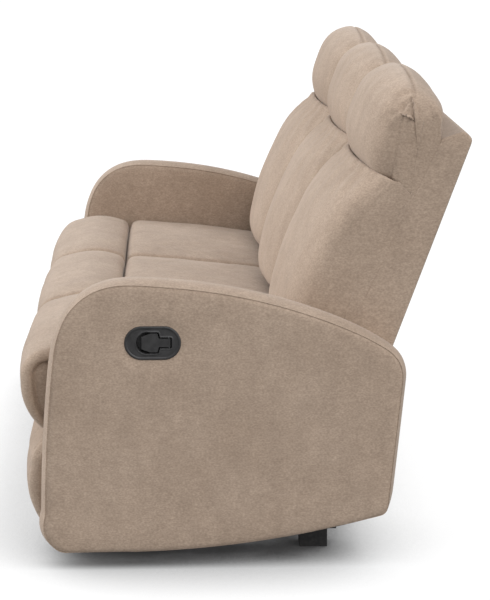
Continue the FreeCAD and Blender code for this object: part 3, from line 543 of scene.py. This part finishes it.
def make_slab(name, node, body, fill):
    """A flat piece covered in fabric: side panels with a seam round each, and a band between them."""
    low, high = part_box(node)
    corners = np.array([(v.co.y, v.co.z) for v in frame["nodes"][node].data.vertices])
    outline = smoothed(resampled(hull(corners), 420), 1.6)
    normals = outward(outline)
    start = low[0] + SLAB_BULGE
    width = high[0] - SLAB_BULGE - start
    spans = ((0.0, 0.04, 6), (0.07, 0.93, 30), (0.96, 1.0, 6))
    shares = np.concatenate([np.linspace(*span) for span in spans])
    loops = []
    for share in shares:
        edge = min(share, 1 - share) * width
        loops.append(outline - normals * (1.5 * MM * math.exp(-edge / (4 * MM))))
    panel = tight_panel(SLAB_BULGE, SEAM_DEPTH)
    obj = skin(name, slab_rows(loops, start + width * shares, 1, panel, SLAB_PANEL_RINGS))
    dress(obj, body, node, fill)


def make_webbing(seat):
    """Woven straps stretched across a seat frame, each bowed down a little by the cushion."""
    node = f"{seat}_seat_webbing"
    low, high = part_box(node)
    edges = sorted({round(v.co.y, 5) for v in frame["nodes"][node].data.vertices})
    fronts, rears = edges[::2], edges[1::2]
    length = high[0] - low[0]
    across = np.linspace(-1.0, 1.0, 60)
    points, faces = [], []
    for front, rear in zip(fronts, rears):
        start = len(points)
        for u in across:
            sag = 1.2 * MM * (1 - u ** 4)
            for v in np.linspace(0.0, 1.0, 9):
                cupped = 0.5 * MM * (2 * v - 1) ** 2
                x = (low[0] + high[0]) / 2 + u * length / 2
                points.append((x, front + (rear - front) * v, high[2] - 1 * MM - sag + cupped))
        for row in range(len(across) - 1):
            for column in range(8):
                corner = start + row * 9 + column
                faces.append((corner, corner + 9, corner + 10, corner + 1))
    mesh = bpy.data.meshes.new(f"{seat}_straps")
    mesh.from_pydata(points, [], faces)
    mesh.polygons.foreach_set("use_smooth", [True] * len(mesh.polygons))
    obj = bpy.data.objects.new(f"{seat}_straps", mesh)
    bpy.context.collection.objects.link(obj)
    obj.data.materials.append(FINISHES["webbing"])
    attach(obj, body_of_place(seat, "seat"))
    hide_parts(node)


# Cushions

END_BULGE = 1.5 * MM


def stations(node, columns, count):
    """Places across a CAD node, closer together at its sides, and its outline at each."""
    low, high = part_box(node)
    middle, half = (low[0] + high[0]) / 2, (high[0] - low[0]) / 2 - END_BULGE
    even = np.linspace(-1.0, 1.0, columns)
    across = np.sign(even) * (1 - (1 - np.abs(even)) ** 1.7)
    places = middle + across * half
    inside = middle + np.clip(across, -0.998, 0.998) * half
    loops = np.array([cut_loop(node, x, count) for x in inside])
    padded = np.concatenate([loops[2::-1], loops, loops[:-4:-1]])
    weights = np.array([1, 6, 15, 20, 15, 6, 1]) / 64
    loops = sum(weight * padded[k:k + columns] for k, weight in enumerate(weights))
    return middle, half, places, loops


# Directions (y, z), the backs' lean from upright as y over z, and the depth over which a draw-back fades
FRONT = (-1.0, 0.0)
TOP = (0.0, 1.0)
BACK_LEAN = 0.475
SHELL_FADE = 60 * MM
END_PANEL_RINGS = 22


def cushion_rows(middle, half, places, loops, kind):
    """Rows of a stuffed piece: its outlines, crowned and rounded towards both ends, with end panels."""
    rows = []
    for x, loop in zip(places, loops):
        lean = min(max(abs(x - middle) - (half - kind.reach), 0.0) / kind.reach, 1.0)
        turned = 1 - math.sqrt(1 - lean ** 2)
        normals = smoothed(outward(smoothed(loop, kind.softness)), 3)
        normals /= np.linalg.norm(normals, axis=1, keepdims=True)
        free = step((normals @ np.array(kind.toward).T).max(axis=1), 0.05, 0.45)[:, None]
        loop = smoothed(loop, kind.softness) * free + smoothed(loop, 1.4) * (1 - free)
        drawn = kind.crown * ((x - middle) / half) ** 2 + kind.rounding * turned
        loop = loop - normals * (1 - free) * kind.pressed * (turned if kind.pressed > 0 else 1)
        if kind.backed:
            behind = loop[:, 0] - BACK_LEAN * loop[:, 1]
            back = step(behind.max() - behind, 0.0, SHELL_FADE)
            sink = np.zeros(len(loop))
            if TOP in kind.toward:
                height = (loop[:, 1] - loop[:, 1].min()) / np.ptp(loop[:, 1])
                chin = 1 - step(height, 0.12, 0.4)
                back = np.maximum(step(-normals[:, 0], -0.1, 0.45), back * chin)
                sink = step(normals[:, 1], 0.3, 0.9)
            loop = loop + drawn * np.column_stack([back, -sink])
        else:
            away = np.column_stack([normals[:, 0], np.maximum(normals[:, 1], 0.0)])
            away /= np.maximum(np.linalg.norm(away, axis=1, keepdims=True), 1e-6)
            loop = loop - away * free * drawn
        rows.append(np.column_stack([np.full(len(loop), x), loop]))
    first = panel_rows(rows[0][:, 1:], places[0], -1, kind.edge_shape, END_PANEL_RINGS)
    last = panel_rows(rows[-1][:, 1:], places[-1], 1, kind.edge_shape, END_PANEL_RINGS)
    return first[:-1] + rows + last[-2::-1]


def plump_end(edge, loop):
    """The edge shape of an end panel that runs on smoothly from the piece's sides."""
    return END_BULGE * (1 - np.exp(-edge / (30 * MM)))


ROLL = 11 * MM


def rolled_end(edge, loop):
    """The edge shape of a roll that curls into the seam of a sunken panel, gathered at its upper turn."""
    curl = np.sqrt(np.maximum(ROLL ** 2 - edge ** 2, 0.0)) - ROLL
    seam = pit(edge - ROLL - 2 * MM, 4 * MM, 2.5 * MM)
    panel = 4 * MM * step(edge, ROLL + 3 * MM, ROLL + 40 * MM)
    steps = np.linalg.norm(np.diff(loop, axis=0, append=loop[:1]), axis=1)
    along = np.cumsum(steps)
    upper_front = (loop - loop.mean(axis=0)) @ np.array((-0.6, 0.8))
    turn = step(upper_front, 60 * MM, 105 * MM)
    gathers = np.sin(along / (8 * MM) * 2 * math.pi) * 1.3 * MM * turn
    return curl - seam + panel + gathers * pit(edge - ROLL * 0.7, 1.0, 6 * MM)


class Piece:
    """A stuffed piece with its points, normals and places in the box of its CAD solid."""

    def __init__(self, obj, node, middle, half):
        low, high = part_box(node)
        self.points = get_points(obj)
        self.normals = get_normals(obj)
        self.side = self.points[:, 0] - middle
        self.from_end = half - np.abs(self.side)
        self.deep = (self.points[:, 1] - low[1]) / (high[1] - low[1])
        self.tall = (self.points[:, 2] - low[2]) / (high[2] - low[2])
        self.half = half
        self.size = np.array(high) - np.array(low)

    def to_line(self, start, end):
        """Distance in the side view from a line between two places in the box."""
        scale = self.size[1:]
        spots = np.column_stack([self.deep, self.tall]) * scale
        first = np.array(start) * scale
        run = np.array(end) * scale - first
        share = np.clip(((spots - first) @ run) / (run @ run), 0.0, 1.0)
        return np.linalg.norm(spots - first - share[:, None] * run, axis=1)

    def to_spot(self, spot):
        """Distance in the side view from a place in the box."""
        return np.hypot((self.deep - spot[0]) * self.size[1], (self.tall - spot[1]) * self.size[2])

    def on_end(self):
        return step(np.abs(self.normals[:, 0]), 0.45, 0.8)


# The headrests' seams, as shares of the box of the solid: depth, or (depth, height)
HEAD_SEAM = 0.66
END_SEAM_TOP = (0.52, 0.77)
DART = (0.66, 0.86)
END_SEAM_FOOT = (0.36, 0.12)


def headrest_detail(piece, seed):
    """Top seam, end seams, and the puckers where they meet."""
    on_top = step(piece.normals[:, 2], 0.1, 0.5) * (1 - piece.on_end())
    across_seam = np.abs(piece.deep - HEAD_SEAM) * piece.size[1]
    move = -pit(across_seam, 4.5 * MM, 2.0 * MM) * on_top
    move += pit(np.abs(across_seam - 8 * MM), 0.8 * MM, 5 * MM) * on_top
    end_line = piece.to_line(END_SEAM_TOP, END_SEAM_FOOT)
    turned_out = step(np.abs(piece.normals[:, 0]), 0.2, 0.55)
    move -= (pit(end_line, 2.6 * MM, 2.2 * MM) + pit(end_line, 7 * MM, 17 * MM)) * turned_out
    ahead = (DART[0] - piece.deep) * piece.size[1]
    down = (DART[1] - piece.tall) * piece.size[2]
    fan = down / np.maximum(ahead + 12 * MM, 4 * MM)
    spread = step(ahead, -4 * MM, 8 * MM) * (1 - step(ahead, 34 * MM, 74 * MM))
    spread *= step(fan, -0.3, 0.0) * (1 - step(fan, 1.0, 1.4))
    spread *= 1 - step(piece.from_end, 40 * MM, 75 * MM)
    puckers = np.sin(fan * 11.0 + waves(piece.points, 0.03, seed) * 0.8)
    move -= np.maximum(puckers, -0.4) * 2.8 * MM * spread
    forward = step(-piece.normals[:, 1], 0.0, 0.6)
    move += waves(piece.points, 0.09, seed, (1.6, 1.0, 0.5)) * 2.2 * MM * forward
    move += waves(piece.points, 0.03, seed + 5, (1.0, 1.0, 0.4)) * 0.8 * MM * forward
    return move


def back_detail(piece, seed):
    """Folds that fan out below the headrest and soft hollows further down."""
    forward = step(-piece.normals[:, 1], -0.1, 0.5)
    crown = 1 - np.abs(piece.side / piece.half) ** 2.6
    below = np.maximum((1 - 0.08 * (1 - crown) - piece.tall) * piece.size[2], 0.0)
    spread = piece.side / (1 + below / (200 * MM))
    warp = waves(piece.points, 0.05, seed) * 0.9
    patchy = step(waves(piece.points, 0.09, seed + 2), -0.1, 0.35)
    fine = np.sin(spread / (15 * MM) * 2 * math.pi + warp * 3) * np.exp(-below / (42 * MM)) * patchy
    broad = np.sin(spread / (52 * MM) * 2 * math.pi + warp * 2 + seed) * np.exp(-below / (110 * MM))
    folds = (fine * 1.5 + broad * 1.2) * MM
    slack = waves(piece.points, 0.16, seed + 3, (1.5, 0.6, 0.5)) * 4.0 * MM
    nap = waves(piece.points, 0.05, seed + 8, (1.5, 0.6, 0.5)) * 0.9 * MM
    return (folds + slack + nap) * forward


def seat_detail(piece, seed):
    """Shallow hollows and brush marks of a seat that has been sat on."""
    upward = step(piece.normals[:, 2], 0.2, 0.7)
    hollows = waves(piece.points, 0.13, seed) * 2.2 * MM
    brushed = waves(piece.points, 0.04, seed) * 0.8 * MM
    return (hollows + brushed) * upward


def knee_detail(piece, seed):
    """Slight unevenness in the stuffing of the roll."""
    return waves(piece.points, 0.11, seed) * 2.0 * MM * (1 - piece.on_end())


def pad_detail(piece, seed):
    """Unevenness, a seam down each end of the face, and a top that falls back under the knee roll."""
    forward = step(-piece.normals[:, 1], 0.0, 0.5)
    seam = np.abs(piece.from_end - 24 * MM)
    fall = 14 * MM * step(piece.tall, 0.66, 1.0)
    return (waves(piece.points, 0.12, seed) * 1.6 * MM - pit(seam, 2.4 * MM, 2.6 * MM) - fall) * forward


def flap_detail(piece, seed):
    """Slight unevenness, and a cover drawn tight enough to clear the footrest when the flap is out."""
    return waves(piece.points, 0.06, seed) * 0.4 * MM - 1.6 * MM


@dataclass
class Kind:
    """How one kind of stuffed piece is made.

    Its free sides face toward, as directions (y, z). They are smoothed by softness, drawn in by crown
    from the middle to the ends, and by rounding over the last reach. The other sides are drawn in at
    the ends by pressed, or let out all along if it is negative. A backed piece is drawn straight back
    towards its shell instead of along its normals.
    """
    body: str
    fill: float
    detail: object
    edge_shape: object
    crown: float
    rounding: float
    pressed: float
    reach: float
    softness: float
    backed: bool
    toward: tuple


KINDS = {
    "seat_cushion": Kind(
        "seat", 0.75, seat_detail, plump_end, 2 * MM, 10 * MM, 2 * MM, 16 * MM, 3.0, False, (TOP,)),
    "knee_roll": Kind(
        "seat", 0.85, knee_detail, rolled_end, 2 * MM, 11 * MM, 4 * MM, 16 * MM, 2.6, False, (FRONT, TOP)),
    "back_cushion": Kind(
        "back", 0.7, back_detail, plump_end, 30 * MM, 20 * MM, -5 * MM, 40 * MM, 4.0, True, (FRONT,)),
    "headrest": Kind(
        "back", 0.75, headrest_detail, plump_end, 22 * MM, 26 * MM, -4 * MM, 54 * MM, 7.0, True,
        (FRONT, TOP)),
    "front_pad": Kind(
        "seat", 0.7, pad_detail, plump_end, 4 * MM, 14 * MM, 3 * MM, 24 * MM, 2.4, False, (FRONT,)),
    "footrest_pad": Kind(
        "footrest", 0.7, pad_detail, plump_end, 4 * MM, 14 * MM, 3 * MM, 24 * MM, 2.4, False, (FRONT,)),
    "flap_pad": Kind(
        "flap", 0.6, flap_detail, plump_end, 0.0, 4 * MM, 2 * MM, 8 * MM, 1.0, False, (FRONT,)),
}


def make_cushion(seat, word, seed):
    kind = KINDS[word]
    node = f"{seat}_{word}"
    middle, half, places, loops = stations(node, 81, 190)
    obj = skin(f"{seat}_{word}_cover", cushion_rows(middle, half, places, loops, kind))
    piece = Piece(obj, node, middle, half)
    set_points(obj, piece.points + piece.normals * kind.detail(piece, seed)[:, None])
    dress(obj, body_of_place(seat, kind.body), node, kind.fill)


def make_seat(seat, seed):
    words = ["seat_cushion", "knee_roll", "back_cushion", "headrest"]
    words += ["front_pad"] if seat == "middle" else ["footrest_pad", "flap_pad"]
    for number, word in enumerate(words):
        make_cushion(seat, word, seed + number * 7)


# Light, floor and camera

FLOOR_GLOW = 0.9
# How far from the sofa the painted contact shadow on the floor reaches.
PAINTED_FLOOR_SHADOW_REACH = 0.36
SKY_STRENGTH = 0.68
SKY_COLOUR = (0.98, 1.0, 1.04, 1.0)


def make_floor():
    """A white floor that glows for the camera, with a painted contact shadow where the sofa stands close
    over it.
    """
    bpy.ops.mesh.primitive_plane_add(size=90.0)
    floor = bpy.context.object
    floor.name = "studio_floor"
    material, nodes, links, shader = new_material("studio_white_painted_shadow")
    shader.inputs["Roughness"].default_value = 0.9
    shader.inputs["Specular IOR Level"].default_value = 0.1
    seen = nodes.new("ShaderNodeLightPath").outputs["Is Camera Ray"]
    albedo = nodes.new("ShaderNodeMix")
    albedo.data_type = "RGBA"
    albedo.inputs["A"].default_value = (0.24, 0.24, 0.235, 1.0)
    albedo.inputs["B"].default_value = (0.14, 0.14, 0.14, 1.0)
    links.new(seen, albedo.inputs["Factor"])
    links.new(albedo.outputs["Result"], shader.inputs["Base Color"])
    # Painted shadow: ambient occlusion darkens the floor's glow under and beside the sofa.
    painted_shadow_occlusion = nodes.new("ShaderNodeAmbientOcclusion")
    painted_shadow_occlusion.inputs["Distance"].default_value = PAINTED_FLOOR_SHADOW_REACH
    dark, clear = (0.02, 0.02, 0.02), (1.0, 1.0, 1.0)
    shade = ramp(nodes, links, painted_shadow_occlusion.outputs["AO"], ((0.2, dark), (0.84, clear)))
    links.new(shade, shader.inputs["Emission Color"])
    glow = nodes.new("ShaderNodeMath")
    glow.operation = "MULTIPLY"
    glow.inputs[1].default_value = FLOOR_GLOW
    links.new(seen, glow.inputs[0])
    links.new(glow.outputs["Value"], shader.inputs["Emission Strength"])
    floor.data.materials.append(material)


def make_sun(name, direction, strength, spread):
    data = bpy.data.lights.new(name, "SUN")
    data.energy = strength
    data.angle = math.radians(spread)
    lamp = bpy.data.objects.new(name, data)
    lamp.rotation_euler = Vector(direction).to_track_quat("-Z", "Y").to_euler()
    bpy.context.collection.objects.link(lamp)


def make_light():
    """A bright sky, a broad key light from the front and a softer one from the photo's side."""
    world = bpy.data.worlds.new("studio")
    bpy.context.scene.world = world
    world.use_nodes = True
    nodes, links = world.node_tree.nodes, world.node_tree.links
    background = nodes["Background"]
    path = nodes.new("ShaderNodeLightPath")
    strength = nodes.new("ShaderNodeMix")
    strength.inputs["A"].default_value = SKY_STRENGTH
    strength.inputs["B"].default_value = 1.0
    links.new(path.outputs["Is Camera Ray"], strength.inputs["Factor"])
    links.new(strength.outputs["Result"], background.inputs["Strength"])
    background.inputs["Color"].default_value = SKY_COLOUR
    make_sun("key", (0.30, 0.90, -0.33), 2.25, 40)
    make_sun("side", (-0.65, -0.45, -0.60), 1.75, 60)


CAMERA_PLACE = (4.95, -0.1505, 1.4395)
CAMERA_YAW = math.radians(2.07)
CAMERA_PITCH = math.radians(12.0)
CAMERA_LENS = 120.0
SENSOR = 36.0


def make_camera():
    data = bpy.data.cameras.new("photo_camera")
    data.sensor_width = SENSOR
    data.lens = CAMERA_LENS
    camera = bpy.data.objects.new("photo_camera", data)
    camera.location = CAMERA_PLACE
    level = math.cos(CAMERA_PITCH)
    ahead, aside = -level * math.cos(CAMERA_YAW), level * math.sin(CAMERA_YAW)
    direction = Vector((ahead, aside, -math.sin(CAMERA_PITCH)))
    camera.rotation_euler = direction.to_track_quat("-Z", "Y").to_euler()
    bpy.context.collection.objects.link(camera)
    bpy.context.scene.camera = camera
    bpy.context.scene.view_settings.view_transform = "Standard"


paint_cad_nodes()
for side, hand in (("left", 1), ("right", -1)):
    make_arm(side, hand)
    make_bezel(side, hand)
make_slab("rear_skirt_cover", "rear_skirt", "base", 0.9)
for number, seat in enumerate(SEATS):
    make_slab(f"{seat}_shell_cover", f"{seat}_back_shell", body_of_place(seat, "back"), 0.85)
    make_webbing(seat)
    make_seat(seat, 11 + number * 31)
make_floor()
make_light()
make_camera()
